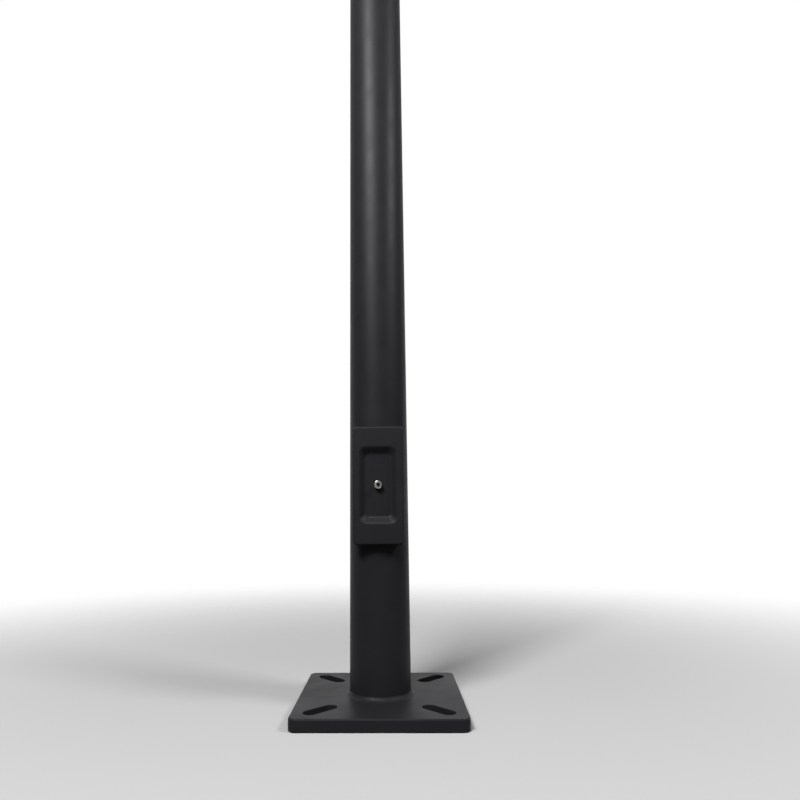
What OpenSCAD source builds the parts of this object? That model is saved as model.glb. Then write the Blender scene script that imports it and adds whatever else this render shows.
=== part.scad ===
// Straight round steel light pole: slotted anchor base, covered handhole, tenon top.
// Millimetres. The origin is the centre of the base plate's underside, +Z is up,
// and the handhole faces -Y.

/* [Pole] */
// Height from the underside of the base plate to the top of the shaft
pole_height = 7620; // [3000:10:9200]
// Outside diameter of the shaft
shaft_od = 101.6; // [96:0.1:125]
// Wall of the shaft
shaft_wall = 3.05; // [2:0.05:6.5]
// How far the foot of the shaft stops above the plate's underside
shaft_setback = 6; // [3:0.5:9]

/* [Base plate] */
// Side of the square plate
plate_side = 266.7; // [235:0.1:330]
// Thickness of the plate
plate_thickness = 19.05; // [12:0.05:30]
// Radius of the plate's corners
plate_corner = 12; // [4:0.5:25]
// Smallest bolt circle that the slots take
slot_circle_min = 215.9; // [185:0.1:225]
// Largest bolt circle that the slots take
slot_circle_max = 292.1; // [245:0.1:300]
// Width of a slot
slot_width = 22.2; // [16:0.1:28]
// Radial room between the shaft and the hole it stands in
socket_gap = 0.3; // [0.1:0.1:0.8]
// Leg of the fillet weld round the foot of the shaft
base_weld_leg = 6.4; // [3:0.1:10]

/* [Handhole] */
// Height of the handhole's centre above the plate's underside
handhole_height = 360; // [280:1:600]
// Width of the cover
cover_width = 86; // [70:0.5:91]
// Height of the cover
cover_height = 196; // [160:1:260]
// How far the cover's face stands in front of the shaft
cover_proud = 14; // [12:0.5:25]
// Thickness of the cover's sheet
cover_thickness = 3; // [2:0.1:4]
// Depth of the lip that hangs over the frame, behind the sheet
cover_lip = 6; // [3:0.5:8]
// Radius of the cover's corners
cover_corner = 7; // [6:0.5:15]
// Room between the cover's lip and the frame
cover_gap = 0.5; // [0.3:0.1:1]
// Height of the dish pressed into the cover
dish_height = 130; // [90:1:140]
// Depth of the dish
dish_depth = 9; // [4:0.5:12]
// Width of the slope on each side of the dish
dish_side_slope = 12; // [8:0.5:16]
// Height of the slope at each end of the dish
dish_end_slope = 14; // [8:0.5:20]
// Radius of the dish's corners
dish_corner = 12; // [9:0.5:16]
// Room between the back of the dish and the frame
dish_room = 1.5; // [0.5:0.5:6]
// Thickness of the frame's bar
frame_thickness = 4; // [3:0.1:5]
// How far the frame reaches in behind the shaft's front
frame_depth = 29; // [24:0.5:34]
// Leg of the weld between the frame and the shaft
frame_weld_leg = 3.5; // [2:0.1:4]

/* [Cover fastening] */
// Diameter of the screw
screw_d = 8; // [6:1:10]
// Diameter of the screw's head
screw_head_d = 13; // [10:0.5:16]
// Height of the screw's head
screw_head_h = 8; // [4:0.5:8]
// Width across flats of the screw's hexagon socket
screw_socket = 6; // [4:0.5:8]
// Height of the clamp bar
bar_height = 30; // [20:1:50]
// Thickness of the clamp bar
bar_thickness = 6; // [4:0.5:8]

/* [Ground stud] */
// Diameter of the stud
stud_d = 9.5; // [6:0.5:12]
// Length of the stud
stud_length = 22; // [16:1:28]
// Height of the stud below the handhole's centre
stud_drop = 58; // [40:1:70]

/* [Tenon] */
// Outside diameter of the tenon
tenon_od = 60.325; // [48:0.025:73]
// Wall of the tenon
tenon_wall = 3.9; // [3:0.1:6]
// Length of the tenon above the top plate
tenon_length = 101.6; // [60:0.1:160]
// Thickness of the top plate
top_plate_thickness = 9.5; // [5:0.5:16]
// Leg of the fillet weld round the foot of the tenon
tenon_weld_leg = 4.8; // [3:0.1:6]
// Leg of the weld between the top plate and the shaft
top_weld_leg = 2.5; // [1.5:0.1:4]

/* [Hidden] */

round_fn = 64;      // facets of a preview circle
hex_fn = 6;
through = 1;        // how far a cut runs past the faces it opens
sliver = 0.05;      // thickness of the dish's floor outline inside its hull
thread_room = 0.1;  // radial room between a screw and the hole it threads into
nut_height = 0.8;   // height of a nut as a share of its screw
nut_flats = 1.6;    // width across flats of a nut as a share of its screw
screw_tail = 0.45;  // how far a screw stands out of its nut, as a share of the screw
washer_thickness = 2;

shaft_r = shaft_od / 2;
bore_r = shaft_r - shaft_wall;
socket_r = shaft_r + socket_gap;

cover_face = shaft_r + cover_proud;            // distance of the cover's face from the axis
cover_back = cover_face - cover_thickness;     // the sheet's back, which seats on the frame
frame_back = shaft_r - frame_depth;
frame_inset = cover_thickness + cover_gap;     // from the cover's edge in to the frame's
frame_width = cover_width - 2 * frame_inset;
frame_height = cover_height - 2 * frame_inset;
frame_corner = cover_corner - frame_inset;
hole_width = frame_width - 2 * frame_thickness;
hole_height = frame_height - 2 * frame_thickness;
hole_corner = max(frame_corner - frame_thickness, 1);

dish_skin = cover_thickness / 2;               // how much wider the dish is behind the sheet
dish_width = hole_width - 2 * (dish_skin + dish_room);
dish_floor = cover_face - dish_depth;          // distance of the dish's floor from the axis
floor_width = dish_width - 2 * dish_side_slope;
floor_height = dish_height - 2 * dish_end_slope;
floor_corner = max(dish_corner - dish_side_slope / 2, 1);

bar_front = frame_back;                        // the bar pulls against the frame's back
bar_back = bar_front - bar_thickness;
screw_end = bar_back - screw_d * (nut_height + screw_tail);

stud_y = -(dish_floor - cover_thickness + frame_back) / 2;
stud_z = handhole_height - stud_drop;
tenon_r = tenon_od / 2;
tenon_bore_r = tenon_r - tenon_wall;
top_plate_r = shaft_r - top_weld_leg;
tenon_foot = pole_height + top_plate_thickness;

// A rectangle with round corners, centred
module rounded(width, height, corner) {
    square([width, height - 2 * corner], center = true);
    square([width - 2 * corner, height], center = true);
    for (x = [-1, 1], y = [-1, 1])
        translate([x * (width / 2 - corner), y * (height / 2 - corner)])
            circle(r = corner, $fn = round_fn);
}

// Runs an outline from one distance in front of the pole's axis to another, at a height
module facing(near, far, height) {
    translate([0, -near, height])
        rotate([90, 0, 0])
            linear_extrude(far - near)
                children();
}

// A screw, nut or hole that points to -Y, between two distances from the pole's axis
module rod(near, far, radius, height, sides = round_fn) {
    translate([0, -near, height])
        rotate([90, 0, 0])
            cylinder(h = far - near, r = radius, $fn = sides);
}

// A ring of weld round the pole's axis, its corner at a radius and a height
module fillet_ring(radius, height, leg) {
    translate([0, 0, height])
        rotate_extrude($fn = round_fn)
            polygon([[radius, 0], [radius + leg, 0], [radius, leg]]);
}

function across_corners(flats) = flats / cos(30);

// A slot that runs out along +X, from the smallest bolt circle to the largest
module slot_outline() {
    near = slot_circle_min / 2;
    far = slot_circle_max / 2;
    translate([(near + far) / 2, 0])
        square([far - near, slot_width], center = true);
    for (x = [near, far])
        translate([x, 0])
            circle(d = slot_width, $fn = round_fn);
}

module base_plate() {
    color([0.07, 0.07, 0.075])
        linear_extrude(plate_thickness)
            difference() {
                rounded(plate_side, plate_side, plate_corner);
                circle(r = socket_r, $fn = round_fn);
                for (turn = [45:90:315])
                    rotate(turn)
                        slot_outline();
            }
}

module base_weld() {
    color([0.06, 0.06, 0.065])
        fillet_ring(shaft_r, plate_thickness, base_weld_leg);
}

// Joins the foot of the shaft to the wall of the plate's hole, from below
module base_root_weld() {
    color([0.06, 0.06, 0.065])
        rotate_extrude($fn = round_fn)
            polygon([[socket_r, shaft_setback / 6], [socket_r, shaft_setback], [bore_r, shaft_setback]]);
}

module shaft() {
    color([0.075, 0.075, 0.08])
        difference() {
            translate([0, 0, shaft_setback])
                cylinder(h = pole_height - shaft_setback, r = shaft_r, $fn = round_fn);
            translate([0, 0, shaft_setback - through])
                cylinder(h = pole_height - shaft_setback + 2 * through, r = bore_r, $fn = round_fn);
            facing(0, shaft_r + through, handhole_height)
                rounded(frame_width + 2 * socket_gap, frame_height + 2 * socket_gap,
                        frame_corner + socket_gap);
        }
}

module handhole_frame() {
    color([0.07, 0.07, 0.075])
        facing(frame_back, cover_back, handhole_height)
            difference() {
                rounded(frame_width, frame_height, frame_corner);
                rounded(hole_width, hole_height, hole_corner);
            }
}

// Follows the line where the frame leaves the shaft
module frame_weld() {
    color([0.06, 0.06, 0.065])
        intersection() {
            facing(0, shaft_r + frame_weld_leg, handhole_height)
                difference() {
                    rounded(frame_width + 2 * frame_weld_leg, frame_height + 2 * frame_weld_leg,
                            frame_corner + frame_weld_leg);
                    rounded(frame_width, frame_height, frame_corner);
                }
            difference() {
                cylinder(h = 2 * handhole_height, r = shaft_r + frame_weld_leg * 0.75, $fn = round_fn);
                cylinder(h = 2 * handhole_height, r = shaft_r, $fn = round_fn);
            }
        }
}

// The space of the dish, or with a skin the metal behind it
module dish(skin, near, far) {
    hull() {
        facing(far, far + through, handhole_height)
            rounded(dish_width + 2 * skin, dish_height + 2 * skin, dish_corner + skin);
        facing(near, near + sliver, handhole_height)
            rounded(floor_width + 2 * skin, floor_height + 2 * skin, floor_corner + skin);
    }
}

module handhole_cover() {
    color([0.065, 0.065, 0.07])
        difference() {
            union() {
                difference() {
                    facing(cover_back - cover_lip, cover_face, handhole_height)
                        rounded(cover_width, cover_height, cover_corner);
                    facing(cover_back - cover_lip - through, cover_back, handhole_height)
                        rounded(cover_width - 2 * cover_thickness, cover_height - 2 * cover_thickness,
                                cover_corner - cover_thickness);
                }
                dish(dish_skin, dish_floor - cover_thickness, cover_back);
            }
            dish(0, dish_floor, cover_face);
            rod(0, cover_face, screw_d / 2 + cover_gap, handhole_height);
        }
}

module cover_screw() {
    color([0.75, 0.75, 0.74])
        difference() {
            union() {
                rod(screw_end, dish_floor, screw_d / 2, handhole_height);
                rod(dish_floor, dish_floor + screw_head_h, screw_head_d / 2, handhole_height);
            }
            rod(dish_floor + screw_head_h / 2, dish_floor + screw_head_h + through,
                across_corners(screw_socket) / 2, handhole_height, hex_fn);
        }
}

module clamp_bar() {
    color([0.55, 0.55, 0.52])
        difference() {
            facing(bar_back, bar_front, handhole_height)
                square([frame_width, bar_height], center = true);
            rod(0, shaft_r, screw_d / 2 + thread_room, handhole_height);
        }
}

module clamp_nut() {
    color([0.55, 0.55, 0.52])
        difference() {
            rod(bar_back - screw_d * nut_height, bar_back,
                across_corners(screw_d * nut_flats) / 2, handhole_height, hex_fn);
            rod(0, shaft_r, screw_d / 2 + thread_room, handhole_height);
        }
}

// Places a round piece on the ground stud, by its distance from the frame's side
module on_stud(from) {
    translate([hole_width / 2 - from, stud_y, stud_z])
        rotate([0, -90, 0])
            children();
}

module ground_stud() {
    color([0.7, 0.6, 0.3])
        on_stud(0)
            cylinder(h = stud_length, d = stud_d, $fn = round_fn);
}

module ground_washer() {
    color([0.7, 0.6, 0.3])
        on_stud(stud_length / 4)
            difference() {
                cylinder(h = washer_thickness, d = stud_d * 2, $fn = round_fn);
                translate([0, 0, -through])
                    cylinder(h = washer_thickness + 2 * through, r = stud_d / 2 + thread_room,
                             $fn = round_fn);
            }
}

module ground_nut() {
    color([0.7, 0.6, 0.3])
        on_stud(stud_length / 4 + washer_thickness)
            difference() {
                cylinder(h = stud_d * nut_height, d = across_corners(stud_d * nut_flats), $fn = hex_fn);
                translate([0, 0, -through])
                    cylinder(h = stud_d + 2 * through, r = stud_d / 2 + thread_room, $fn = round_fn);
            }
}

module top_plate() {
    color([0.07, 0.07, 0.075])
        translate([0, 0, pole_height])
            difference() {
                cylinder(h = top_plate_thickness, r = top_plate_r, $fn = round_fn);
                translate([0, 0, -through])
                    cylinder(h = top_plate_thickness + 2 * through, r = tenon_bore_r, $fn = round_fn);
            }
}

module top_plate_weld() {
    color([0.06, 0.06, 0.065])
        fillet_ring(top_plate_r, pole_height, top_weld_leg);
}

// The tube with its foot weld, which is one metal with it
module tenon() {
    head = tenon_foot + tenon_length;
    color([0.07, 0.07, 0.075])
        rotate_extrude($fn = round_fn)
            polygon([[tenon_bore_r, tenon_foot], [tenon_r + tenon_weld_leg, tenon_foot],
                     [tenon_r, tenon_foot + tenon_weld_leg], [tenon_r, head], [tenon_bore_r, head]]);
}

base_plate();
base_weld();
base_root_weld();
shaft();
handhole_frame();
frame_weld();
handhole_cover();
cover_screw();
clamp_bar();
clamp_nut();
ground_stud();
ground_washer();
ground_nut();
top_plate();
top_plate_weld();
tenon();
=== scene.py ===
import math
import bmesh
import bpy
from mathutils import Matrix, Vector


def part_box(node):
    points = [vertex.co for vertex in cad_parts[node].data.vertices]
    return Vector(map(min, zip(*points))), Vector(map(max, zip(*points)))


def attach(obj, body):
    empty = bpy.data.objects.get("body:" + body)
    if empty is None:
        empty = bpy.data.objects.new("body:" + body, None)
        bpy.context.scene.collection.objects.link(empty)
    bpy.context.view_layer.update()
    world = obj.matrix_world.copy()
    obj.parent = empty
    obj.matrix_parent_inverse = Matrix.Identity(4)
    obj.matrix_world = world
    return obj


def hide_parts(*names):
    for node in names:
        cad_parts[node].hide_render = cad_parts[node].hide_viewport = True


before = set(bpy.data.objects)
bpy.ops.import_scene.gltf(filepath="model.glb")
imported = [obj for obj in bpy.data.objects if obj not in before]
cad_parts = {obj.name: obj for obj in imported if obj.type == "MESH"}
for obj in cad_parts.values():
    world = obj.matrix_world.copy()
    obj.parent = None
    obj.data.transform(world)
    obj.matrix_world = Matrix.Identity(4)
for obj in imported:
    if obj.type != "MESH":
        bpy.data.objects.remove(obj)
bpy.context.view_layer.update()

scene = bpy.context.scene
mm = 0.001
turn = 2 * math.pi


# places in metres, angles in degrees
cameraSet = {
    "place": (0.0219, -1.0361, 0.2990),
    "lens": 26.3,
    "sensor": 36.0,
    "pitch": 9.895,     # degrees up from level
    "yaw": -1.247,      # degrees, positive turns to +X
    "roll": -0.451,
    "shift": (0.0275, 0.025),
    "nearest": 0.01,
}
lightSet = {
    "key": {"place": (-0.80, -1.58, 2.20), "aim": (0, 0, 1.60), "size": (0.80, 0.80), "watts": 100},
    "side": {"place": (2.00, -0.90, 2.30), "aim": (0, 0, 0.90), "size": (0.60, 0.60), "watts": 48},
    "upper": {"place": (-2.20, -3.60, 6.20), "aim": (0, 0, 5.40), "size": (1.20, 1.20), "watts": 120},
}
worldSet = {"seen": 1.0, "fill": 0.19, "front": 0.14, "turnsFrom": 0.1, "turnsTo": 0.95}
floorSet = {"radius": 8.5, "seen": 0.42, "fill": 0.08, "fadeFrom": 0.25, "fadeTo": 2.1, "steps": 96}


def makeCamera(s):
    cam = bpy.data.objects.new("camera", bpy.data.cameras.new("camera"))
    scene.collection.objects.link(cam)
    yaw, pitch, roll = (math.radians(s[k]) for k in ("yaw", "pitch", "roll"))
    level = Vector((math.sin(yaw), math.cos(yaw), 0))
    right = Vector((math.cos(yaw), -math.sin(yaw), 0))
    ahead = level * math.cos(pitch) + Vector((0, 0, math.sin(pitch)))
    up = Vector((0, 0, math.cos(pitch))) - level * math.sin(pitch)
    rightTurned = right * math.cos(roll) + up * math.sin(roll)
    upTurned = up * math.cos(roll) - right * math.sin(roll)
    axes = Matrix((rightTurned, upTurned, -ahead)).transposed()
    cam.matrix_world = Matrix.Translation(s["place"]) @ axes.to_4x4()
    cam.data.lens = s["lens"]
    cam.data.sensor_width = s["sensor"]
    cam.data.shift_x, cam.data.shift_y = s["shift"]
    cam.data.clip_start = s["nearest"]
    scene.camera = cam


def makeLight(name, s):
    lamp = bpy.data.lights.new(name, "AREA")
    lamp.shape = "RECTANGLE"
    lamp.size, lamp.size_y = s["size"]
    lamp.energy = s["watts"]
    obj = bpy.data.objects.new(name, lamp)
    scene.collection.objects.link(obj)
    obj.location = s["place"]
    toAim = Vector(s["aim"]) - Vector(s["place"])
    obj.rotation_mode = "QUATERNION"
    obj.rotation_quaternion = toAim.to_track_quat("-Z", "Y")


def newNode(tree, kind, settings=None, inputs=None):
    node = tree.nodes.new(kind)
    for key, value in (settings or {}).items():
        setattr(node, key, value)
    for key, value in (inputs or {}).items():
        node.inputs[key].default_value = value
    return node


def backgroundRay(tree):
    # 1 for a ray from the camera, a mirror or glass, which should see the background's own colour
    rays = newNode(tree, "ShaderNodeLightPath")
    either = newNode(tree, "ShaderNodeMath", {"operation": "MAXIMUM"})
    anySeen = newNode(tree, "ShaderNodeMath", {"operation": "MAXIMUM"})
    tree.links.new(rays.outputs["Is Camera Ray"], either.inputs[0])
    tree.links.new(rays.outputs["Is Glossy Ray"], either.inputs[1])
    tree.links.new(either.outputs[0], anySeen.inputs[0])
    tree.links.new(rays.outputs["Is Transmission Ray"], anySeen.inputs[1])
    return anySeen.outputs[0]


def makeWorld(s):
    # white to look at; a gloss finds the white room behind the pole and a dim one behind the camera
    world = bpy.data.worlds.new("studio")
    scene.world = world
    world.use_nodes = True
    tree = world.node_tree
    tree.nodes.clear()
    coord = newNode(tree, "ShaderNodeTexCoord")
    parts = newNode(tree, "ShaderNodeSeparateXYZ")
    room = newNode(tree, "ShaderNodeMapRange", {"interpolation_type": "SMOOTHSTEP"},
                   {"From Min": s["turnsFrom"], "From Max": s["turnsTo"],
                    "To Min": s["front"], "To Max": s["seen"]})
    rays = newNode(tree, "ShaderNodeLightPath")
    looked = newNode(tree, "ShaderNodeMath", {"operation": "MAXIMUM"})
    plain = newNode(tree, "ShaderNodeMapRange", inputs={"To Min": s["fill"], "To Max": s["seen"]})
    either = newNode(tree, "ShaderNodeMix", {"data_type": "FLOAT"})
    back = newNode(tree, "ShaderNodeBackground", inputs={"Color": (1, 1, 1, 1)})
    out = newNode(tree, "ShaderNodeOutputWorld")
    tree.links.new(coord.outputs["Generated"], parts.inputs[0])
    tree.links.new(parts.outputs["Y"], room.inputs["Value"])
    tree.links.new(rays.outputs["Is Camera Ray"], looked.inputs[0])
    tree.links.new(rays.outputs["Is Transmission Ray"], looked.inputs[1])
    tree.links.new(looked.outputs[0], plain.inputs["Value"])
    tree.links.new(rays.outputs["Is Glossy Ray"], either.inputs["Factor"])
    tree.links.new(plain.outputs["Result"], either.inputs["A"])
    tree.links.new(room.outputs["Result"], either.inputs["B"])
    tree.links.new(either.outputs["Result"], back.inputs["Strength"])
    tree.links.new(back.outputs[0], out.inputs["Surface"])


def stageObject(name, bm, mat):
    mesh = bpy.data.meshes.new(name)
    bm.to_mesh(mesh)
    bm.free()
    mesh.materials.append(mat)
    obj = bpy.data.objects.new(name, mesh)
    scene.collection.objects.link(obj)


def emptyMaterial(name):
    mat = bpy.data.materials.new(name)
    mat.use_nodes = True
    mat.node_tree.nodes.clear()
    return mat, mat.node_tree, newNode(mat.node_tree, "ShaderNodeOutputMaterial")


def makeFloor(s):
    # pale near the pole, clear further off so that it has no edge; seen from below it is clear too
    mat, tree, out = emptyMaterial("paleFloor")
    coord = newNode(tree, "ShaderNodeTexCoord")
    length = newNode(tree, "ShaderNodeVectorMath", {"operation": "LENGTH"})
    fade = newNode(tree, "ShaderNodeMapRange", {"interpolation_type": "SMOOTHSTEP"},
                   {"From Min": s["fadeFrom"], "From Max": s["fadeTo"]})
    tone = newNode(tree, "ShaderNodeMapRange", inputs={"To Min": s["fill"], "To Max": s["seen"]})
    shade = newNode(tree, "ShaderNodeBsdfDiffuse")
    tree.links.new(backgroundRay(tree), tone.inputs["Value"])
    tree.links.new(tone.outputs["Result"], shade.inputs["Color"])
    clear = newNode(tree, "ShaderNodeBsdfTransparent")
    side = newNode(tree, "ShaderNodeNewGeometry")
    more = newNode(tree, "ShaderNodeMath", {"operation": "MAXIMUM"})
    mix = newNode(tree, "ShaderNodeMixShader")
    tree.links.new(coord.outputs["Object"], length.inputs[0])
    tree.links.new(length.outputs["Value"], fade.inputs["Value"])
    tree.links.new(fade.outputs["Result"], more.inputs[0])
    tree.links.new(side.outputs["Backfacing"], more.inputs[1])
    tree.links.new(more.outputs[0], mix.inputs[0])
    tree.links.new(shade.outputs[0], mix.inputs[1])
    tree.links.new(clear.outputs[0], mix.inputs[2])
    tree.links.new(mix.outputs[0], out.inputs["Surface"])
    bm = bmesh.new()
    bmesh.ops.create_circle(bm, cap_ends=True, segments=s["steps"], radius=s["radius"])
    for face in bm.faces:
        if face.normal.z < 0:
            face.normal_flip()
    stageObject("floor", bm, mat)


makeCamera(cameraSet)
makeWorld(worldSet)
makeFloor(floorSet)
for lightName, lightValues in lightSet.items():
    makeLight(lightName, lightValues)
scene.view_settings.view_transform = "Standard"
print("camera, floor and lights made")


# what all finishes share
# the last two entries set the colour and the samples of the shade painted into recesses
finishSet = {"patchDetail": 4.0, "patchRange": (0.3, 0.7), "grainDetail": 3.0,
             "paintedShadeColour": (0.012, 0.011, 0.010), "shadeSamples": 8}


def makeCoat(name, s):
    # base colour with soft patches, a fine grain in the surface, and a little unevenness in the gloss
    mat = bpy.data.materials.new(name)
    mat.use_nodes = True
    tree = mat.node_tree
    shade = tree.nodes["Principled BSDF"]
    coord = newNode(tree, "ShaderNodeTexCoord")
    patches = newNode(tree, "ShaderNodeTexNoise", inputs={"Scale": s["patchScale"],
                      "Detail": finishSet["patchDetail"]})
    colours = newNode(tree, "ShaderNodeMix", {"data_type": "RGBA"})
    colours.inputs["A"].default_value = (*s["dark"], 1)
    colours.inputs["B"].default_value = (*s["light"], 1)
    patchLow, patchHigh = finishSet["patchRange"]
    gloss = newNode(tree, "ShaderNodeMapRange", inputs={"From Min": patchLow, "From Max": patchHigh,
                    "To Min": s["rough"][0], "To Max": s["rough"][1]})
    grain = newNode(tree, "ShaderNodeTexNoise", inputs={"Scale": s["grainScale"],
                    "Detail": finishSet["grainDetail"]})
    fine = newNode(tree, "ShaderNodeBump", inputs={"Strength": s["grain"], "Distance": s["grainDepth"]})
    tree.links.new(coord.outputs["Object"], patches.inputs["Vector"])
    tree.links.new(coord.outputs["Object"], grain.inputs["Vector"])
    tree.links.new(patches.outputs["Fac"], colours.inputs["Factor"])
    tree.links.new(patches.outputs["Fac"], gloss.inputs["Value"])
    tree.links.new(colours.outputs["Result"], shade.inputs["Base Color"])
    tree.links.new(gloss.outputs["Result"], shade.inputs["Roughness"])
    tree.links.new(grain.outputs["Fac"], fine.inputs["Height"])
    tree.links.new(fine.outputs["Normal"], shade.inputs["Normal"])
    if "shadeReach" in s:
        # painted shade: ambient occlusion darkens the base colour in recesses, such as the socket of a screw
        # and the roots of a thread, where shade falls
        recess = newNode(tree, "ShaderNodeAmbientOcclusion", {"samples": finishSet["shadeSamples"]},
                         {"Distance": s["shadeReach"]})
        steep = newNode(tree, "ShaderNodeMath", {"operation": "POWER"})
        steep.inputs[1].default_value = s["shadePower"]
        paintedShadeMix = newNode(tree, "ShaderNodeMix", {"data_type": "RGBA"})
        paintedShadeMix.inputs["A"].default_value = (*finishSet["paintedShadeColour"], 1)
        tree.links.new(recess.outputs["AO"], steep.inputs[0])
        tree.links.new(steep.outputs[0], paintedShadeMix.inputs["Factor"])
        tree.links.new(colours.outputs["Result"], paintedShadeMix.inputs["B"])
        tree.links.new(paintedShadeMix.outputs["Result"], shade.inputs["Base Color"])
    shade.inputs["Metallic"].default_value = s["metal"]
    shade.inputs["Specular IOR Level"].default_value = s["shine"]
    return mat


coatSet = {"dark": (0.0104, 0.0104, 0.0124), "light": (0.0136, 0.0136, 0.0158), "patchScale": 22.0,
           "rough": (0.42, 0.51), "shine": 0.10, "metal": 0.0,
           "grainScale": 1300.0, "grain": 0.42, "grainDepth": 0.00016}
# the stainless finish's last two entries set how far and how steeply shade is painted into its recesses
stainlessSet = {"dark": (0.60, 0.59, 0.57), "light": (0.74, 0.73, 0.71), "patchScale": 160.0,
                "rough": (0.20, 0.32), "shine": 0.5, "metal": 1.0,
                "grainScale": 2600.0, "grain": 0.12, "grainDepth": 0.00004,
                "shadeReach": 0.006, "shadePower": 2.2}
zincSet = {"dark": (0.40, 0.40, 0.37), "light": (0.56, 0.57, 0.55), "patchScale": 240.0,
           "rough": (0.34, 0.50), "shine": 0.5, "metal": 1.0,
           "grainScale": 1800.0, "grain": 0.2, "grainDepth": 0.00005}
bronzeSet = {"dark": (0.40, 0.25, 0.10), "light": (0.62, 0.41, 0.18), "patchScale": 200.0,
             "rough": (0.28, 0.42), "shine": 0.5, "metal": 1.0,
             "grainScale": 2000.0, "grain": 0.15, "grainDepth": 0.00004}
scaleSet = {"dark": (0.028, 0.026, 0.026), "light": (0.075, 0.060, 0.050), "patchScale": 14.0,
            "rough": (0.55, 0.80), "shine": 0.3, "metal": 0.0,
            "grainScale": 700.0, "grain": 0.35, "grainDepth": 0.0002}

blackCoat = makeCoat("blackCoat", coatSet)
stainless = makeCoat("stainless", stainlessSet)
zincPlate = makeCoat("zincPlate", zincSet)
bronze = makeCoat("bronze", bronzeSet)
millScale = makeCoat("millScale", scaleSet)
print("materials made")


def startTree(name, numbers):
    tree = bpy.data.node_groups.new(name, "GeometryNodeTree")
    face = tree.interface
    face.new_socket(name="Geometry", in_out="INPUT", socket_type="NodeSocketGeometry")
    for label, value in numbers.items():
        face.new_socket(name=label, in_out="INPUT", socket_type="NodeSocketFloat").default_value = value
    face.new_socket(name="Finish", in_out="INPUT", socket_type="NodeSocketMaterial")
    face.new_socket(name="Geometry", in_out="OUTPUT", socket_type="NodeSocketGeometry")
    given = newNode(tree, "NodeGroupInput")
    return tree, given


def endTree(tree, given, offset):
    move = newNode(tree, "GeometryNodeSetPosition")
    real = newNode(tree, "GeometryNodeRealizeInstances")
    paint = newNode(tree, "GeometryNodeSetMaterial")
    result = newNode(tree, "NodeGroupOutput")
    tree.links.new(given.outputs["Geometry"], move.inputs["Geometry"])
    tree.links.new(offset, move.inputs["Offset"])
    tree.links.new(move.outputs["Geometry"], real.inputs["Geometry"])
    tree.links.new(real.outputs["Geometry"], paint.inputs["Geometry"])
    tree.links.new(given.outputs["Finish"], paint.inputs["Material"])
    tree.links.new(paint.outputs["Geometry"], result.inputs["Geometry"])
    return tree


def readNumber(tree, label):
    read = newNode(tree, "GeometryNodeInputNamedAttribute", {"data_type": "FLOAT"})
    read.inputs["Name"].default_value = label
    return read.outputs["Attribute"]


def mathNode(tree, how, a, b=None):
    node = newNode(tree, "ShaderNodeMath", {"operation": how})
    for place, value in enumerate((a, b)):
        if value is None:
            continue
        if isinstance(value, (int, float)):
            node.inputs[place].default_value = value
        else:
            tree.links.new(value, node.inputs[place])
    return node.outputs[0]


rippleSet = {"noiseScale": 180.0, "noiseDetail": 2.0, "noiseMiddle": 0.5, "noiseGain": 4.0,
             "trail": 1.4, "edgeSoftness": 0.7, "leastWaves": 8}


def makeRippleTree(s):
    # a weld's ripples: a wave along the bead, uneven by noise, nothing at the bead's edges
    tree, given = startTree("weldRipples", {"Pitch": 0.003, "Height": 0.0002, "Uneven": 0.5})
    phase = mathNode(tree, "DIVIDE", readNumber(tree, "along"), given.outputs["Pitch"])
    wave = mathNode(tree, "SINE", mathNode(tree, "MULTIPLY", phase, turn))
    place = newNode(tree, "GeometryNodeInputPosition")
    noise = newNode(tree, "ShaderNodeTexNoise", inputs={"Scale": s["noiseScale"],
                    "Detail": s["noiseDetail"]})
    tree.links.new(place.outputs[0], noise.inputs["Vector"])
    offMiddle = mathNode(tree, "SUBTRACT", noise.outputs[0], s["noiseMiddle"])
    noiseValue = mathNode(tree, "MULTIPLY", offMiddle, s["noiseGain"])
    uneven = mathNode(tree, "MULTIPLY", noiseValue, given.outputs["Uneven"])
    both = mathNode(tree, "ADD", wave, uneven)
    height = mathNode(tree, "MULTIPLY", both, given.outputs["Height"])
    height = mathNode(tree, "MULTIPLY", height, readNumber(tree, "swell"))
    normal = newNode(tree, "GeometryNodeInputNormal")
    push = newNode(tree, "ShaderNodeVectorMath", {"operation": "SCALE"})
    tree.links.new(normal.outputs[0], push.inputs[0])
    tree.links.new(height, push.inputs["Scale"])
    return endTree(tree, given, push.outputs[0])


def makeThreadTree():
    # a screw thread or a knurl: a three-cornered wave cut towards the axis
    tree, given = startTree("threadRelief", {"Pitch": 0.00125, "Turns": -1.0, "Depth": 0.0004})
    rise = mathNode(tree, "DIVIDE", readNumber(tree, "rise"), given.outputs["Pitch"])
    around = mathNode(tree, "MULTIPLY", readNumber(tree, "around"), given.outputs["Turns"])
    part = mathNode(tree, "FRACT", mathNode(tree, "ADD", rise, around))
    wave = mathNode(tree, "SUBTRACT", mathNode(tree, "MULTIPLY", part, 2.0), 1.0)
    corner = mathNode(tree, "ABSOLUTE", wave)
    depth = mathNode(tree, "MULTIPLY", corner, given.outputs["Depth"])
    depth = mathNode(tree, "MULTIPLY", depth, readNumber(tree, "grip"))
    depth = mathNode(tree, "MULTIPLY", depth, -1.0)
    outward = newNode(tree, "GeometryNodeInputNamedAttribute", {"data_type": "FLOAT_VECTOR"})
    outward.inputs["Name"].default_value = "outward"
    push = newNode(tree, "ShaderNodeVectorMath", {"operation": "SCALE"})
    tree.links.new(outward.outputs["Attribute"], push.inputs[0])
    tree.links.new(depth, push.inputs["Scale"])
    return endTree(tree, given, push.outputs[0])


rippleTree = makeRippleTree(rippleSet)
threadTree = makeThreadTree()


def useTree(obj, tree, numbers, finish):
    mod = obj.modifiers.new(tree.name, "NODES")
    mod.node_group = tree
    for item in tree.interface.items_tree:
        if item.item_type != "SOCKET" or item.in_out != "INPUT":
            continue
        if item.name in numbers:
            mod[item.identifier] = numbers[item.name]
        if item.name == "Finish":
            mod[item.identifier] = finish
    return bake(obj)


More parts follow.
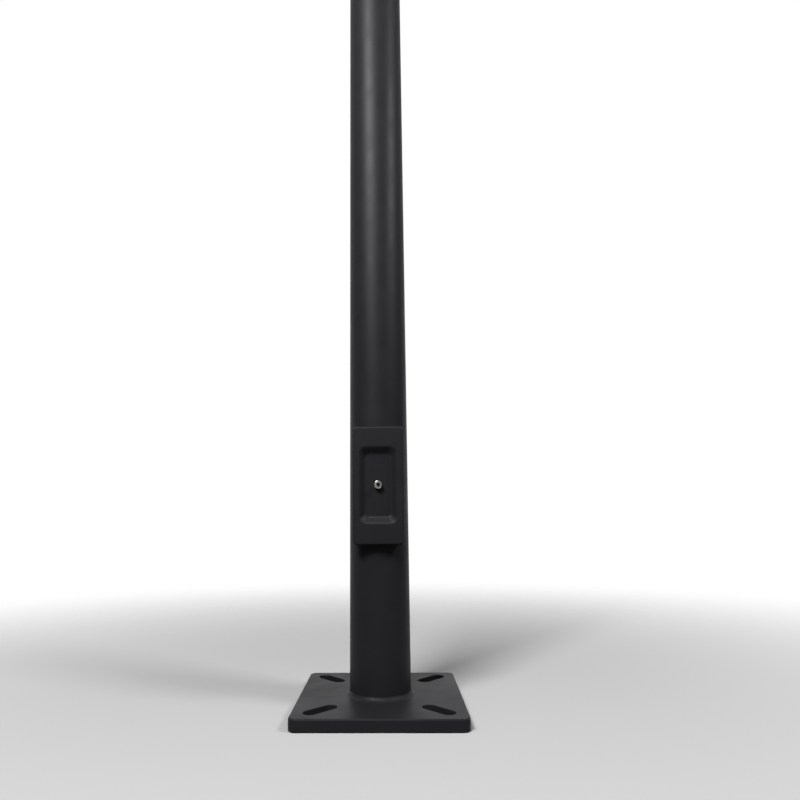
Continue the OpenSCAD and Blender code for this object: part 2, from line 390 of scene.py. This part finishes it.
def bake(obj):
    # the evaluated shape becomes the piece's plain mesh
    seen = obj.evaluated_get(bpy.context.evaluated_depsgraph_get())
    mesh = bpy.data.meshes.new_from_object(seen)
    old = obj.data
    obj.modifiers.clear()
    obj.data = mesh
    mesh.name = obj.name
    if old.users == 0:
        bpy.data.meshes.remove(old)
    return obj


def roundedLoop(halfX, halfZ, corner, arcSteps=10, sideSteps=8):
    points = []
    centres = ((1, 1, 0), (-1, 1, 1), (-1, -1, 2), (1, -1, 3))
    for number, (sx, sz, quarter) in enumerate(centres):
        cx, cz = sx * (halfX - corner), sz * (halfZ - corner)
        for k in range(arcSteps + 1):
            angle = (quarter + k / arcSteps) * turn / 4
            points.append((cx + corner * math.cos(angle), cz + corner * math.sin(angle)))
        nextX, nextZ, nextQuarter = centres[(number + 1) % 4]
        angle = nextQuarter * turn / 4
        endX = nextX * (halfX - corner) + corner * math.cos(angle)
        endZ = nextZ * (halfZ - corner) + corner * math.sin(angle)
        startX, startZ = points[-1]
        for k in range(1, sideSteps):
            share = k / sideSteps
            points.append((startX + (endX - startX) * share, startZ + (endZ - startZ) * share))
    return points


def circleLoop(radius, count=96):
    angles = [turn * k / count for k in range(count)]
    return [(radius * math.cos(angle), radius * math.sin(angle)) for angle in angles]


def hexLoop(acrossFlats, limit=math.inf, count=96):
    # a hexagon, cut back to a circle of radius limit
    points = []
    for k in range(count):
        angle = turn * k / count
        fromFlat = (angle + turn / 12) % (turn / 6) - turn / 12
        radius = min(acrossFlats / 2 / math.cos(fromFlat), limit)
        points.append((radius * math.cos(angle), radius * math.sin(angle)))
    return points


def holeLoop(outline, radius, y, middle):
    # a circle whose points lie in the same directions as the outline's
    return [(radius * x / math.hypot(x, z), y, middle + radius * z / math.hypot(x, z)) for x, z in outline]


def loft(bm, loops, wrap=True, caps=False):
    rows = [[bm.verts.new(p) for p in loop] for loop in loops]
    pairs = list(zip(rows, rows[1:]))
    if wrap:
        pairs.append((rows[-1], rows[0]))
    count = len(rows[0])
    for near, far in pairs:
        for i in range(count):
            j = (i + 1) % count
            bm.faces.new((near[i], near[j], far[j], far[i]))
    if caps:
        for row in (rows[0], rows[-1]):
            middle = Vector((0, 0, 0))
            for vert in row:
                middle += vert.co / count
            tip = bm.verts.new(middle)
            for i in range(count):
                bm.faces.new((row[i], row[(i + 1) % count], tip))
    return rows


evenWeight = 60


def makePiece(name, bm, finish, nodes, sharp=38, weight=True):
    bmesh.ops.recalc_face_normals(bm, faces=bm.faces[:])
    mesh = bpy.data.meshes.new(name)
    bm.to_mesh(mesh)
    bm.free()
    for each in (finish if isinstance(finish, list) else [finish]):
        mesh.materials.append(each)
    for poly in mesh.polygons:
        poly.use_smooth = True
    mesh.set_sharp_from_angle(angle=math.radians(sharp))
    obj = bpy.data.objects.new(name, mesh)
    scene.collection.objects.link(obj)
    if weight:
        even = obj.modifiers.new("even", "WEIGHTED_NORMAL")
        even.keep_sharp = True
        even.weight = evenWeight
        bake(obj)
    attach(obj, "root")
    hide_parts(*nodes)
    return obj


def arc(startAngle, endAngle, steps):
    return [startAngle + (endAngle - startAngle) * k / steps for k in range(steps + 1)]


def roundedPipe(outer, inner, low, high, outerEdge, innerEdge, steps=3):
    # (radius, height) round a ring's section, with rounded edges
    path = []
    corners = ((outer, high, 0, outerEdge, 1, 1), (inner, high, 1, innerEdge, -1, 1),
               (inner, low, 2, innerEdge, -1, -1), (outer, low, 3, outerEdge, 1, -1))
    for radius, height, quarter, edge, sideways, upward in corners:
        for angle in arc(quarter * turn / 4, (quarter + 1) * turn / 4, steps):
            path.append((radius - sideways * edge + edge * math.cos(angle),
                         height - upward * edge + edge * math.sin(angle)))
    return path


# all rows are heights in metres, close together round the handhole; other sizes from here on are millimetres
shaftSet = {"columns": 192, "wall": 3.05, "cutCorner": 3.5, "cutSteps": 8, "cutFrom": -80.0,
            "lowRows": (0.03, 0.08, 0.15, 0.2), "highRows": (0.6, 0.8, 1.1, 1.6, 2.4, 3.6, 5.0, 6.4),
            "rimRowsBelow": 0.03, "rimRowStep": 0.0125, "rimRows": 21, "radialFrom": 0.9}
shaftLow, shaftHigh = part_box("shaft")
rimLow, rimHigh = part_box("handhole_frame")
holeMiddle = (rimLow.z + rimHigh.z) / 2
shaftRadius = (shaftHigh.x - shaftLow.x) / 2
tubeWall = shaftSet["wall"] * mm


def makeShaft(s):
    outer, inner = shaftRadius, shaftRadius - tubeWall
    rimRows = [rimLow.z - s["rimRowsBelow"] + k * s["rimRowStep"] for k in range(s["rimRows"])]
    heights = [shaftLow.z, *s["lowRows"], *rimRows, *s["highRows"], shaftHigh.z]
    path = [(outer, z) for z in heights] + [(inner, z) for z in reversed(heights)]
    bm = bmesh.new()
    loft(bm, [[(x, y, z) for x, y in circleLoop(r, s["columns"])] for r, z in path])
    bmesh.ops.recalc_face_normals(bm, faces=bm.faces[:])
    mesh = bpy.data.meshes.new("shaftTube")
    bm.to_mesh(mesh)
    bm.free()
    mesh.materials.append(blackCoat)
    mesh.materials.append(millScale)
    obj = bpy.data.objects.new("shaftTube", mesh)
    scene.collection.objects.link(obj)
    halfX, halfZ = (rimHigh.x - rimLow.x) / 2, (rimHigh.z - rimLow.z) / 2
    shape = roundedLoop(halfX, halfZ, s["cutCorner"] * mm, s["cutSteps"], 1)
    bm = bmesh.new()
    ends = (s["cutFrom"] * mm, rimHigh.y)
    rows = loft(bm, [[(x, y, z + holeMiddle) for x, z in shape] for y in ends], wrap=False)
    for row in rows:
        bm.faces.new(row)
    bmesh.ops.recalc_face_normals(bm, faces=bm.faces[:])
    cutMesh = bpy.data.meshes.new("cutter")
    bm.to_mesh(cutMesh)
    bm.free()
    cutMesh.materials.append(blackCoat)
    cutter = bpy.data.objects.new("cutter", cutMesh)
    scene.collection.objects.link(cutter)
    cut = obj.modifiers.new("cut", "BOOLEAN")
    cut.operation, cut.solver, cut.object = "DIFFERENCE", "EXACT", cutter
    bake(obj)
    bpy.data.objects.remove(cutter)
    normals = []
    mesh = obj.data
    for poly in mesh.polygons:
        poly.use_smooth = True
        middle = Vector((poly.center.x, poly.center.y, 0)).normalized()
        facing = poly.normal.dot(middle)
        onTube = abs(facing) > s["radialFrom"]
        if onTube:
            poly.material_index = 1 if facing < 0 else 0
        for loopIndex in poly.loop_indices:
            place = mesh.vertices[mesh.loops[loopIndex].vertex_index].co
            radial = Vector((place.x, place.y, 0)).normalized()
            normals.append(radial * math.copysign(1, facing) if onTube else poly.normal.copy())
    mesh.normals_split_custom_set(normals)
    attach(obj, "root")
    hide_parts("shaft")


makeShaft(shaftSet)
print("shaft made")


plateSet = {"corner": 12, "edge": 2.4, "slotEdge": 1.0, "slotWidth": 22.2, "circles": (215.9, 292.1),
            "hole": 51.1, "rings": 5}


def slotLoop(middleAngle, near, far, radius, steps=20):
    points = []
    for place, base in ((far, -1), (near, 1)):
        for k in range(steps + 1):
            angle = base * turn / 4 + k / steps * turn / 2
            u, v = place + radius * math.cos(angle), radius * math.sin(angle)
            points.append((u * math.cos(middleAngle) - v * math.sin(middleAngle),
                           u * math.sin(middleAngle) + v * math.cos(middleAngle)))
    return points


def makePlate(s):
    low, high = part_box("base_plate")
    half = (high.x - low.x) / 2
    edge, slotEdge = s["edge"] * mm, s["slotEdge"] * mm
    bm = bmesh.new()

    def wall(outline, rounding):
        # outline(inset) gives the loop moved into the plate's solid by inset
        loops = []
        angles = arc(0, turn / 4, s["rings"])
        for angle in reversed(angles):
            loops.append([(x, y, high.z - rounding * (1 - math.sin(angle)))
                          for x, y in outline(rounding * (1 - math.cos(angle)))])
        for angle in angles:
            loops.append([(x, y, low.z + rounding * (1 - math.sin(angle)))
                          for x, y in outline(rounding * (1 - math.cos(angle)))])
        rows = loft(bm, loops, wrap=False)
        return rows[0], rows[-1]

    corner = s["corner"] * mm
    rims = [wall(lambda d: roundedLoop(half - d, half - d, corner - d, 12, 6), edge)]
    near, far = (c / 2 * mm for c in s["circles"])
    slotRadius = s["slotWidth"] / 2 * mm
    for quarter in range(4):
        angle = (quarter + 0.5) * turn / 4
        rims.append(wall(lambda d, a=angle: slotLoop(a, near, far, slotRadius + d), slotEdge))
    rims.append(wall(lambda d: circleLoop(s["hole"] * mm + d, 128), slotEdge))
    for which in (0, 1):
        edges = []
        for rim in rims:
            row = rim[which]
            for i in range(len(row)):
                edges.append(bm.edges.get((row[i], row[(i + 1) % len(row)])))
        bmesh.ops.triangle_fill(bm, use_beauty=True, use_dissolve=False, edges=edges)
    return makePiece("anchorPlate", bm, blackCoat, ["base_plate"], sharp=50)


makePlate(plateSet)
print("anchor plate made")


# leg: size of the bead; bulge: above 0 full, below 0 hollow; the rest: the ripples
weldSet = {
    "foot": {"leg": 6.4, "bulge": -0.24, "pitch": 4.2, "height": 0.12, "uneven": 0.7},
    "root": {"bulge": 0.10, "pitch": 4.5, "height": 0.20, "uneven": 0.6},
    "frame": {"leg": 3.5, "bulge": 0.16, "pitch": 2.6, "height": 0.13, "uneven": 0.5,
              "sunk": 0.2, "sideSteps": 70},
    "top": {"leg": 2.5, "bulge": 0.12, "pitch": 2.8, "height": 0.12, "uneven": 0.5},
    "tenon": {"leg": 4.8, "bulge": 0.12, "pitch": 3.6, "height": 0.18, "uneven": 0.5},
}


def sweepBead(name, path, s, nodes, steps=9):
    # path: (wall foot, wall point, floor point, root point) for each station round the closed bead
    bm = bmesh.new()
    along = bm.verts.layers.float.new("along")
    swell = bm.verts.layers.float.new("swell")
    rows, length, last = [], 0.0, None
    total = sum((Vector(path[i][1]) - Vector(path[i - 1][1])).length for i in range(len(path)))
    waves = max(round(total / (s["pitch"] * mm)), rippleSet["leastWaves"])
    for wallPoint, corner, floorPoint, root in path:
        wallPoint, corner, floorPoint, root = (Vector(p) for p in (wallPoint, corner, floorPoint, root))
        if last is not None:
            length += (corner - last).length
        last = corner
        middle = (wallPoint + floorPoint) / 2
        outward = (middle - corner) * s["bulge"] * 4    # share * (1 - share) is a quarter at most
        row = []
        for k in range(steps + 1):
            share = k / steps
            place = wallPoint.lerp(floorPoint, share) + outward * share * (1 - share)
            vert = bm.verts.new(place)
            trail = rippleSet["trail"] * mm * (2 * share - 1) ** 2
            vert[along] = length / total * waves * s["pitch"] * mm + trail
            vert[swell] = math.sin(math.pi * share) ** rippleSet["edgeSoftness"] if 0 < share < 1 else 0.0
            row.append(vert)
        row.append(bm.verts.new(root))
        rows.append(row)
    count = len(rows[0])
    for i in range(len(rows)):
        near, far = rows[i], rows[(i + 1) % len(rows)]
        for k in range(count):
            j = (k + 1) % count
            bm.faces.new((near[k], near[j], far[j], far[k]))
    obj = makePiece(name, bm, blackCoat, nodes, sharp=60, weight=False)
    return useTree(obj, rippleTree, {"Pitch": s["pitch"] * mm, "Height": s["height"] * mm,
                                     "Uneven": s["uneven"]}, blackCoat)


def ringPath(radius, height, leg, side=1, upward=1, sunk=0.25, count=420):
    # a fillet round a tube: side +1 outside it, -1 inside it; upward +1 on top of what it stands on
    path = []
    for k in range(count):
        c, s = math.cos(turn * k / count), math.sin(turn * k / count)

        def at(r, z):
            return (r * c, r * s, z)

        path.append((at(radius, height + upward * leg), at(radius, height),
                     at(radius + side * leg, height),
                     at(radius - side * sunk * mm, height - upward * sunk * mm)))
    return path


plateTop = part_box("base_plate")[1].z
foot = weldSet["foot"]
sweepBead("footWeld", ringPath(shaftRadius, plateTop, foot["leg"] * mm), foot, ["base_weld"])

rootLow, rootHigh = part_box("base_root_weld")


def rootPath(count=300):
    # lies under the shaft's end, between it and the wall of the plate's hole
    path = []
    holeRadius = (rootHigh.x - rootLow.x) / 2
    innerRadius = shaftRadius - tubeWall
    for k in range(count):
        c, s = math.cos(turn * k / count), math.sin(turn * k / count)
        corner = (holeRadius * c, holeRadius * s, rootHigh.z)
        path.append(((holeRadius * c, holeRadius * s, rootLow.z), corner,
                     (innerRadius * c, innerRadius * s, rootHigh.z), corner))
    return path


sweepBead("rootWeld", rootPath(), weldSet["root"], ["base_root_weld"])


def framePath(s):
    leg, sunk = s["leg"] * mm, s["sunk"] * mm
    path = []
    halfX, halfZ = (rimHigh.x - rimLow.x) / 2, (rimHigh.z - rimLow.z) / 2
    outline = roundedLoop(halfX, halfZ, shaftSet["cutCorner"] * mm, sideSteps=s["sideSteps"])
    for i, (x, z) in enumerate(outline):
        beforeX, beforeZ = outline[i - 1]
        afterX, afterZ = outline[(i + 1) % len(outline)]
        out = Vector((afterZ - beforeZ, 0, beforeX - afterX)).normalized()

        def surface(step):
            across = x + out.x * step
            depth = math.sqrt(max(shaftRadius ** 2 - across ** 2, 0))
            return Vector((across, -depth, z + out.z * step))

        corner = surface(0) + Vector((0, 0, holeMiddle))
        away = surface(leg) + Vector((0, 0, holeMiddle))
        root = corner - out * sunk + Vector((0, sunk, 0))
        path.append((corner + Vector((0, -leg, 0)), corner, away, root))
    return path


sweepBead("frameWeld", framePath(weldSet["frame"]), weldSet["frame"], ["frame_weld"])

tenonLow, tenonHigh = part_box("tenon")
tenonSet = {"radius": 30.1625, "wall": 3.9, "edge": 0.9, "plateEdge": 0.8, "boreEdge": 0.5, "columns": 160}
top = weldSet["top"]
topLow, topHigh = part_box("top_plate")
topRadius = (topHigh.x - topLow.x) / 2
sweepBead("topWeld", ringPath(topRadius, topLow.z, top["leg"] * mm), top, ["top_plate_weld"])
tenonWeld = weldSet["tenon"]
sweepBead("tenonWeld", ringPath(tenonSet["radius"] * mm, tenonLow.z, tenonWeld["leg"] * mm, count=320),
          tenonWeld, ["tenon"])
print("welds made")


rimSet = {"corner": 3.5, "innerCorner": 1.0, "wall": 4.0, "edge": 0.7, "edgeSteps": 3, "leastCorner": 0.2}


def makeRim(s):
    halfX, halfZ = (rimHigh.x - rimLow.x) / 2, (rimHigh.z - rimLow.z) / 2
    wall, edge = s["wall"] * mm, s["edge"] * mm
    loops = []
    # the section runs front outside, back outside, back inside, front inside
    corners = ((0, rimLow.y, 2), (0, rimHigh.y, 1), (wall, rimHigh.y, 0), (wall, rimLow.y, 3))
    for inset, y, quarter in corners:
        towardY = 1 if y == rimLow.y else -1
        towardIn = 1 if inset == 0 else -1
        steps = arc(0, 1, s["edgeSteps"])
        if (inset == 0) != (y == rimLow.y):
            steps.reverse()
        for share in steps:
            angle = share * turn / 4
            sideways = edge * (1 - math.sin(angle))
            depth = edge * (1 - math.cos(angle))
            d = inset + towardIn * sideways
            corner = s["corner"] * mm if inset == 0 else s["innerCorner"] * mm
            corner = corner - sideways if inset == 0 else corner + sideways
            corner = max(corner, s["leastCorner"] * mm)
            loops.append([(x, y + towardY * depth, z + holeMiddle)
                          for x, z in roundedLoop(halfX - d, halfZ - d, corner, 8, 4)])
    bm = bmesh.new()
    loft(bm, loops)
    return makePiece("handholeRim", bm, blackCoat, ["handhole_frame"], sharp=45)


makeRim(rimSet)

coverSet = {"sheet": 3.0, "edge": 3.4, "corner": 7.0, "lip": 3.0, "lipEdge": 0.8,
            "dish": (32.5, 65.0, 12.0), "floor": (20.5, 51.0, 6.0), "depth": 9.0, "ease": 0.26,
            "screwHole": 4.4, "slopeSteps": 14, "seat": 9.0, "floorRing": (0.75, 0.8),
            "rimGap": (1.5, 3.0, 1.0), "edgeSteps": 7, "lipEase": 0.3, "backGrow": 1.6,
            "bendRise": (0.8, 0.2), "bendIn": (0.3, 1.0)}


def easedRamp(share, ease):
    # 0 to 1 with a soft start and end and a straight middle
    slope = 1 / (1 - ease)
    if share < ease:
        return slope * share * share / (2 * ease)
    if share > 1 - ease:
        return 1 - slope * (1 - share) ** 2 / (2 * ease)
    return slope * (share - ease / 2)


def makeCover(s):
    low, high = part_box("handhole_cover")
    front, lipBack = low.y, high.y
    halfX, halfZ = (high.x - low.x) / 2, (high.z - low.z) / 2
    middleZ = (high.z + low.z) / 2
    sheet, edge, corner = s["sheet"] * mm, s["edge"] * mm, s["corner"] * mm
    dishX, dishZ, dishCorner = (v * mm for v in s["dish"])
    floorX, floorZ, floorCorner = (v * mm for v in s["floor"])
    floorShape = roundedLoop(floorX, floorZ, floorCorner, 12, 10)
    ringX, ringZ = s["floorRing"]
    gapX, gapZ, gapCorner = (v * mm for v in s["rimGap"])
    back = front + sheet
    loops = []

    def add(x, z, c, y):
        loops.append([(px, y, pz + middleZ) for px, pz in roundedLoop(x, z, c, 12, 10)])

    def hole(radius, y):
        loops.append(holeLoop(floorShape, radius * mm, y, middleZ))

    def dish(shift, y, forward):
        shares = [k / s["slopeSteps"] for k in range(s["slopeSteps"] + 1)]
        for share in (shares if forward else reversed(shares)):
            drop = easedRamp(share, s["ease"]) * s["depth"] * mm
            add(dishX + shift + (floorX - dishX) * share, dishZ + shift + (floorZ - dishZ) * share,
                dishCorner + shift + (floorCorner - dishCorner) * share, y + drop)

    floorFront = front + s["depth"] * mm
    hole(s["screwHole"], floorFront)
    hole(s["seat"], floorFront)
    add(floorX * ringX, floorZ * ringZ, floorCorner * ringZ, floorFront)
    dish(0, front, False)
    add(dishX + gapX, dishZ + gapZ, dishCorner + gapCorner, front)
    add(halfX - edge - gapX, halfZ - edge - gapZ, corner, front)
    for angle in arc(0, turn / 4, s["edgeSteps"]):
        inset = edge * (1 - math.sin(angle))
        add(halfX - inset, halfZ - inset, corner - inset, front + edge * (1 - math.cos(angle)))
    lipEdge = s["lipEdge"] * mm
    add(halfX, halfZ, corner, lipBack - lipEdge)
    eased = lipEdge * s["lipEase"]
    add(halfX - eased, halfZ - eased, corner, lipBack - eased)
    add(halfX - lipEdge, halfZ - lipEdge, corner - lipEdge, lipBack)
    wall = s["lip"] * mm
    # the lip's inner edge, and the bend where it meets the back of the sheet
    inner = lipEdge / 2
    add(halfX - wall + inner, halfZ - wall + inner, corner - wall + inner, lipBack)
    add(halfX - wall, halfZ - wall, corner - wall, lipBack - inner)
    riseFar, riseNear = (v * mm for v in s["bendRise"])
    inNear, inFar = (v * mm for v in s["bendIn"])
    add(halfX - wall, halfZ - wall, corner - wall, back + riseFar)
    add(halfX - wall - inNear, halfZ - wall - inNear, corner - wall, back + riseNear)
    add(halfX - wall - inFar, halfZ - wall - inFar, corner - wall, back)
    dish(s["backGrow"] * mm, back, True)
    add(floorX * ringX, floorZ * ringZ, floorCorner * ringZ, floorFront + sheet)
    hole(s["seat"], floorFront + sheet)
    hole(s["screwHole"], floorFront + sheet)
    bm = bmesh.new()
    loft(bm, loops)
    return makePiece("handholeCover", bm, blackCoat, ["handhole_cover"], sharp=42)


makeCover(coverSet)
print("handhole rim and cover made")


screwSet = {"head": 13.0, "headHeight": 8.0, "chamfer": 0.7, "socket": 6.0, "socketDeep": 4.2,
            "socketFlare": 0.7, "flareDeep": 0.35, "underEdge": 0.3, "neck": 1.0, "columns": 192,
            "knurls": 48, "knurlDepth": 0.28, "knurlRows": 11, "knurlStep": 0.5,
            "body": 8.0, "pitch": 1.25, "threadDepth": 0.5, "rowsPerPitch": 6, "threadColumns": 48,
            "threadFrom": 0.5, "runOut": 3.0, "runIn": 1.2, "pointLength": 0.8, "pointDrop": 0.7}
studSet = {"body": 9.5, "pitch": 1.6, "threadDepth": 0.6, "rowsPerPitch": 6, "threadColumns": 48,
           "runOut": 4.0, "runIn": 1.2, "pointLength": 0.9, "pointDrop": 0.8,
           "nutFlats": 15.2, "studHole": 4.85, "washer": 19.0, "washerHole": 5.2, "washerEdges": (0.3, 0.2)}
barSet = {"corner": 1.5, "edge": 0.6, "hole": 4.3, "nutFlats": 12.8}
nutSet = {"edge": 0.5, "bevel": 2.2, "face": 0.985, "reach": 1.08, "middle": 1.1}
easeShare = 0.3      # how far in the middle point of a small rounded edge lies


def alongY(middle):
    return lambda u, v, w: (u, w, middle + v)


def alongX(middleY, middleZ):
    return lambda u, v, w: (w, middleY + u, middleZ + v)


def alongZ(u, v, w):
    return (u, v, w)


def makeTurned(name, profile, place, finish, nodes, relief=None, closed=False, sharp=40):
    # profile: (loop of u v points, distance along the axis, grip); place turns (u, v, w) into a point
    bm = bmesh.new()
    rise = bm.verts.layers.float.new("rise")
    around = bm.verts.layers.float.new("around")
    grip = bm.verts.layers.float.new("grip")
    outward = bm.verts.layers.float_vector.new("outward")
    loops = [[place(u, v, w) for u, v in loop] for loop, w, g in profile]
    rows = loft(bm, loops, wrap=closed, caps=not closed)
    for row, (loop, w, g) in zip(rows, profile):
        for k, vert in enumerate(row):
            u, v = loop[k]
            size = max(math.hypot(u, v), 1e-9)
            vert[rise], vert[around], vert[grip] = w, k / len(row), g
            vert[outward] = Vector(place(u / size, v / size, 0)) - Vector(place(0, 0, 0))
    obj = makePiece(name, bm, finish, nodes, sharp=sharp, weight=relief is None)
    if relief:
        useTree(obj, threadTree, relief, finish)


def threadRows(s, start, end, pointAtEnd):
    # the thread runs in at the point, which is turned down a little, and out at the other end
    body, rowStep = s["body"] / 2 * mm, s["pitch"] * mm / s["rowsPerPitch"]
    count = int((end - start) / rowStep)
    rows = []
    for k in range(count + 1):
        w = start + (end - start) * k / count
        fromPoint, fromEnd = (end - w, w - start) if pointAtEnd else (w - start, end - w)
        cut = min(fromPoint / (s["runIn"] * mm), fromEnd / (s["runOut"] * mm), 1)
        drop = max(0, 1 - fromPoint / (s["pointLength"] * mm)) * s["pointDrop"] * mm
        rows.append((circleLoop(body - drop, s["threadColumns"]), w, max(cut, 0)))
    return rows


def threadRelief(s):
    return {"Pitch": s["pitch"] * mm, "Turns": -1.0, "Depth": s["threadDepth"] * mm}


def makeScrew(s):
    low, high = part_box("cover_screw")
    place = alongY((low.z + high.z) / 2)
    head, chamfer, body = s["head"] / 2 * mm, s["chamfer"] * mm, s["body"] / 2 * mm
    front, under = low.y, low.y + s["headHeight"] * mm
    socket, underEdge = s["socket"] * mm, s["underEdge"] * mm
    count = s["columns"]
    parts = [(hexLoop(socket, count=count), front + s["socketDeep"] * mm, 0),
             (hexLoop(socket, count=count), front + s["flareDeep"] * mm, 0),
             (hexLoop(socket + s["socketFlare"] * mm, count=count), front, 0),
             (circleLoop(head - chamfer, count), front, 0),
             (circleLoop(head - chamfer * easeShare, count), front + chamfer * easeShare, 0),
             (circleLoop(head, count), front + chamfer, 0)]
    for k in range(1, s["knurlRows"] + 1):
        grip = 1 if k < s["knurlRows"] else 0
        parts.append((circleLoop(head, count), front + chamfer + k * s["knurlStep"] * mm, grip))
    parts += [(circleLoop(head, count), under - underEdge, 0),
              (circleLoop(head - underEdge, count), under, 0),
              (circleLoop(body, count), under, 0),
              (circleLoop(body, count), under + s["neck"] * mm, 0)]
    # a knurl is a thread with no rise, so its pitch is made endless
    makeTurned("coverScrewHead", parts, place, stainless, ["cover_screw"],
               {"Pitch": 1000.0, "Turns": float(s["knurls"]), "Depth": s["knurlDepth"] * mm})
    makeTurned("coverScrewThread", threadRows(s, under + s["threadFrom"] * mm, high.y, True), place,
               stainless, ["cover_screw"], threadRelief(s))


def nutProfile(s, flats, hole, start, end):
    edge = s["edge"] * mm
    bevel, limit = s["bevel"] * edge, flats / 2 * s["reach"]
    face = hexLoop(flats, flats / 2 * s["face"])
    shoulder = hexLoop(flats, limit)
    middle = hexLoop(flats, limit * s["middle"])
    return [(face, start, 0), (shoulder, start + edge, 0), (middle, start + bevel, 0),
            (middle, end - bevel, 0), (shoulder, end - edge, 0), (face, end, 0),
            (circleLoop(hole + edge), end, 0), (circleLoop(hole), end - edge, 0),
            (circleLoop(hole), start + edge, 0), (circleLoop(hole + edge), start, 0)]


def makeBar(s):
    low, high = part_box("clamp_bar")
    middle = (low.z + high.z) / 2
    halfX, halfZ = (high.x - low.x) / 2, (high.z - low.z) / 2
    edge, corner, bore = s["edge"] * mm, s["corner"] * mm, s["hole"] * mm
    outline = roundedLoop(halfX, halfZ, corner, 8, 8)

    def side(inset, y):
        return [(x, y, z + middle) for x, z in roundedLoop(halfX - inset, halfZ - inset, corner, 8, 8)]

    eased = edge * easeShare
    loops = [holeLoop(outline, bore + edge, low.y, middle),
             side(edge, low.y), side(eased, low.y + eased), side(0, low.y + edge),
             side(0, high.y - edge), side(eased, high.y - eased), side(edge, high.y),
             holeLoop(outline, bore + edge, high.y, middle),
             holeLoop(outline, bore, high.y - edge, middle),
             holeLoop(outline, bore, low.y + edge, middle)]
    bm = bmesh.new()
    loft(bm, loops)
    makePiece("clampBar", bm, zincPlate, ["clamp_bar"], sharp=35)
    nutLow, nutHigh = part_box("clamp_nut")
    makeTurned("clampNutRing", nutProfile(nutSet, s["nutFlats"] * mm, bore, nutLow.y, nutHigh.y),
               alongY(middle), zincPlate, ["clamp_nut"], closed=True, sharp=25)


def makeStud(s):
    low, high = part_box("ground_stud")
    place = alongX((low.y + high.y) / 2, (low.z + high.z) / 2)
    makeTurned("groundStud", threadRows(s, low.x, high.x, False), place,
               bronze, ["ground_stud"], threadRelief(s))
    nutLow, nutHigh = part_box("ground_nut")
    nut = nutProfile(nutSet, s["nutFlats"] * mm, s["studHole"] * mm, nutLow.x, nutHigh.x)
    makeTurned("groundNutRing", nut, place, bronze, ["ground_nut"], closed=True, sharp=25)
    washerLow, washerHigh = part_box("ground_washer")
    outerEdge, innerEdge = (v * mm for v in s["washerEdges"])
    section = roundedPipe(s["washer"] / 2 * mm, s["washerHole"] * mm, washerLow.x, washerHigh.x,
                          outerEdge, innerEdge)
    makeTurned("groundWasherRing", [(circleLoop(r), w, 0) for r, w in section],
               place, bronze, ["ground_washer"], closed=True)


makeScrew(screwSet)
makeBar(barSet)
makeStud(studSet)
print("screw, bar and grounding point made")


def makeTop(s):
    radius, hole = s["radius"] * mm, (s["radius"] - s["wall"]) * mm
    rings = (("topPlateRing", "top_plate", topRadius, topLow.z, topHigh.z, s["plateEdge"]),
             ("tenonRing", "tenon", radius, tenonLow.z, tenonHigh.z, s["edge"]))
    for name, node, outer, low, high, edge in rings:
        section = roundedPipe(outer, hole, low, high, edge * mm, s["boreEdge"] * mm)
        makeTurned(name, [(circleLoop(r, s["columns"]), w, 0) for r, w in section],
                   alongZ, blackCoat, [node], closed=True)


makeTop(tenonSet)
print("top plate and tenon made")
